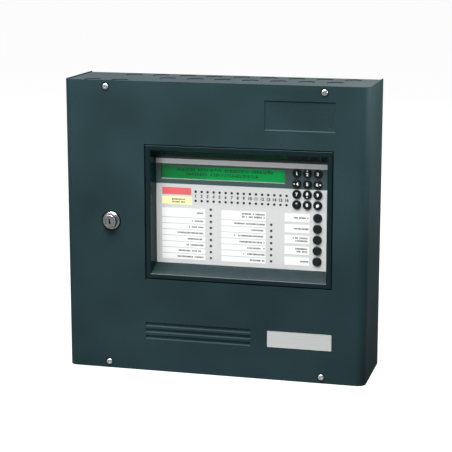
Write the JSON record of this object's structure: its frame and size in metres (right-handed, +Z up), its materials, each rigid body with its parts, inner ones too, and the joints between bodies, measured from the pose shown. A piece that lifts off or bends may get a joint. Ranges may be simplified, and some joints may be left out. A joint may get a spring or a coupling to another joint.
{
  "type": "fire alarm control panel",
  "caption": "Wall-mounted steel fire alarm control panel with a recessed keypad and display facia, a cam lock, a lift-off wraparound cover, boards, supply and standby batteries.",
  "frame": {"origin": "middle of the flat back face that lies on the wall", "axes": "+Z up, +X to the right seen from the front, the front faces -Y"},
  "size_m": [0.37, 0.107, 0.355],
  "materials": {
    "cover_paint": "dark grey-green powder coat with a fine texture",
    "box_paint": "grey powder coat with a fine texture",
    "zinc_steel": "zinc-plated mild steel",
    "bright_steel": "bright plated steel",
    "brass": "turned brass",
    "bezel_plastic": "gloss black moulding",
    "badge_aluminium": "brushed and bare",
    "lock_chrome": "chrome plate on die cast metal",
    "black_plastic": "black moulding",
    "facia_film": "printed polycarbonate film, satin",
    "clear_acrylic": "clear acrylic",
    "lcd_green": "green backlit display glass",
    "circuit_board": "green solder resist",
    "lamp_lens": "dark diffused lamp lens",
    "green_plastic": "green nylon terminal moulding",
    "relay_plastic": "off-white relay case",
    "capacitor_sleeve": "shrunk sleeve",
    "ribbon_grey": "grey ribbon insulation",
    "terminal_cream": "cream moulding",
    "battery_case": "dark grey battery case",
    "lead_red": "insulated lead",
    "key_plastic": "black key cap"
  },
  "bodies": {
    "box": {"back_box": "box_paint", "batteries": "battery_case", "battery_strap": "zinc_steel", "battery_tabs": "bright_steel", "board_capacitors": "capacitor_sleeve", "board_chips": "black_plastic", "board_pillars": "brass", "board_relays": "relay_plastic", "board_screws": "bright_steel", "chassis_screws": "bright_steel", "clinch_nuts": "zinc_steel", "display_board": "circuit_board", "display_bridge": "zinc_steel", "earth_studs": "brass", "facia_overlay": "facia_film", "facia_plate": "black_plastic", "key_switches": "black_plastic", "lcd_board": "circuit_board", "lcd_frame": "zinc_steel", "lcd_glass": "lcd_green", "lcd_lens": "clear_acrylic", "lead_sockets": "lead_red", "lock_keeper": "zinc_steel", "main_board": "circuit_board", "mains_terminal": "terminal_cream", "power_leads": "lead_red", "ribbon_cable": "ribbon_grey", "ribbon_headers": "black_plastic", "sounder": "black_plastic", "status_lamps": "lamp_lens", "supply_case": "zinc_steel", "terminal_blocks": "green_plastic", "zone_lamps": "lamp_lens"},
    "cover": {"front_cover": "cover_paint", "cover_screws": "bright_steel", "window_bezel": "bezel_plastic", "bezel_nuts": "zinc_steel", "badge_plate": "badge_aluminium", "lock_body": "lock_chrome", "lock_nut": "zinc_steel"},
    "lock": {"lock_barrel": "lock_chrome", "lock_cam": "zinc_steel", "cam_screw": "zinc_steel"},
    "function_key_1_body": {"function_key_1": "key_plastic"},
    "function_key_2_body": {"function_key_2": "key_plastic"},
    "function_key_3_body": {"function_key_3": "key_plastic"},
    "function_key_4_body": {"function_key_4": "key_plastic"},
    "function_key_5_body": {"function_key_5": "key_plastic"},
    "keypad_key_01_body": {"keypad_key_01": "key_plastic"},
    "keypad_key_02_body": {"keypad_key_02": "key_plastic"},
    "keypad_key_03_body": {"keypad_key_03": "key_plastic"},
    "keypad_key_04_body": {"keypad_key_04": "key_plastic"},
    "keypad_key_05_body": {"keypad_key_05": "key_plastic"},
    "keypad_key_06_body": {"keypad_key_06": "key_plastic"},
    "keypad_key_07_body": {"keypad_key_07": "key_plastic"},
    "keypad_key_08_body": {"keypad_key_08": "key_plastic"},
    "keypad_key_09_body": {"keypad_key_09": "key_plastic"},
    "keypad_key_10_body": {"keypad_key_10": "key_plastic"},
    "keypad_key_11_body": {"keypad_key_11": "key_plastic"},
    "keypad_key_12_body": {"keypad_key_12": "key_plastic"}
  },
  "joints": [
    {"name": "cover_lift", "type": "slide", "parent": "box", "child": "cover", "axis": [0, -1, 0], "range_m": [0, 0.15]},
    {"name": "lock_turn", "type": "hinge", "parent": "cover", "child": "lock", "pos_m": [-0.1275, -0.1, 0.0075], "axis": [0, 1, 0], "range_deg": [0, 90]},
    {"name": "function_key_1_press", "type": "slide", "parent": "box", "child": "function_key_1_body", "axis": [0, 1, 0], "range_m": [0, 0.001], "stiffness_N_per_m": 600, "springref_m": -0.0005},
    {"name": "function_key_2_press", "type": "slide", "parent": "box", "child": "function_key_2_body", "axis": [0, 1, 0], "range_m": [0, 0.001], "stiffness_N_per_m": 600, "springref_m": -0.0005},
    {"name": "function_key_3_press", "type": "slide", "parent": "box", "child": "function_key_3_body", "axis": [0, 1, 0], "range_m": [0, 0.001], "stiffness_N_per_m": 600, "springref_m": -0.0005},
    {"name": "function_key_4_press", "type": "slide", "parent": "box", "child": "function_key_4_body", "axis": [0, 1, 0], "range_m": [0, 0.001], "stiffness_N_per_m": 600, "springref_m": -0.0005},
    {"name": "function_key_5_press", "type": "slide", "parent": "box", "child": "function_key_5_body", "axis": [0, 1, 0], "range_m": [0, 0.001], "stiffness_N_per_m": 600, "springref_m": -0.0005},
    {"name": "keypad_key_01_press", "type": "slide", "parent": "box", "child": "keypad_key_01_body", "axis": [0, 1, 0], "range_m": [0, 0.001], "stiffness_N_per_m": 600, "springref_m": -0.0005},
    {"name": "keypad_key_02_press", "type": "slide", "parent": "box", "child": "keypad_key_02_body", "axis": [0, 1, 0], "range_m": [0, 0.001], "stiffness_N_per_m": 600, "springref_m": -0.0005},
    {"name": "keypad_key_03_press", "type": "slide", "parent": "box", "child": "keypad_key_03_body", "axis": [0, 1, 0], "range_m": [0, 0.001], "stiffness_N_per_m": 600, "springref_m": -0.0005},
    {"name": "keypad_key_04_press", "type": "slide", "parent": "box", "child": "keypad_key_04_body", "axis": [0, 1, 0], "range_m": [0, 0.001], "stiffness_N_per_m": 600, "springref_m": -0.0005},
    {"name": "keypad_key_05_press", "type": "slide", "parent": "box", "child": "keypad_key_05_body", "axis": [0, 1, 0], "range_m": [0, 0.001], "stiffness_N_per_m": 600, "springref_m": -0.0005},
    {"name": "keypad_key_06_press", "type": "slide", "parent": "box", "child": "keypad_key_06_body", "axis": [0, 1, 0], "range_m": [0, 0.001], "stiffness_N_per_m": 600, "springref_m": -0.0005},
    {"name": "keypad_key_07_press", "type": "slide", "parent": "box", "child": "keypad_key_07_body", "axis": [0, 1, 0], "range_m": [0, 0.001], "stiffness_N_per_m": 600, "springref_m": -0.0005},
    {"name": "keypad_key_08_press", "type": "slide", "parent": "box", "child": "keypad_key_08_body", "axis": [0, 1, 0], "range_m": [0, 0.001], "stiffness_N_per_m": 600, "springref_m": -0.0005},
    {"name": "keypad_key_09_press", "type": "slide", "parent": "box", "child": "keypad_key_09_body", "axis": [0, 1, 0], "range_m": [0, 0.001], "stiffness_N_per_m": 600, "springref_m": -0.0005},
    {"name": "keypad_key_10_press", "type": "slide", "parent": "box", "child": "keypad_key_10_body", "axis": [0, 1, 0], "range_m": [0, 0.001], "stiffness_N_per_m": 600, "springref_m": -0.0005},
    {"name": "keypad_key_11_press", "type": "slide", "parent": "box", "child": "keypad_key_11_body", "axis": [0, 1, 0], "range_m": [0, 0.001], "stiffness_N_per_m": 600, "springref_m": -0.0005},
    {"name": "keypad_key_12_press", "type": "slide", "parent": "box", "child": "keypad_key_12_body", "axis": [0, 1, 0], "range_m": [0, 0.001], "stiffness_N_per_m": 600, "springref_m": -0.0005}
  ]
}
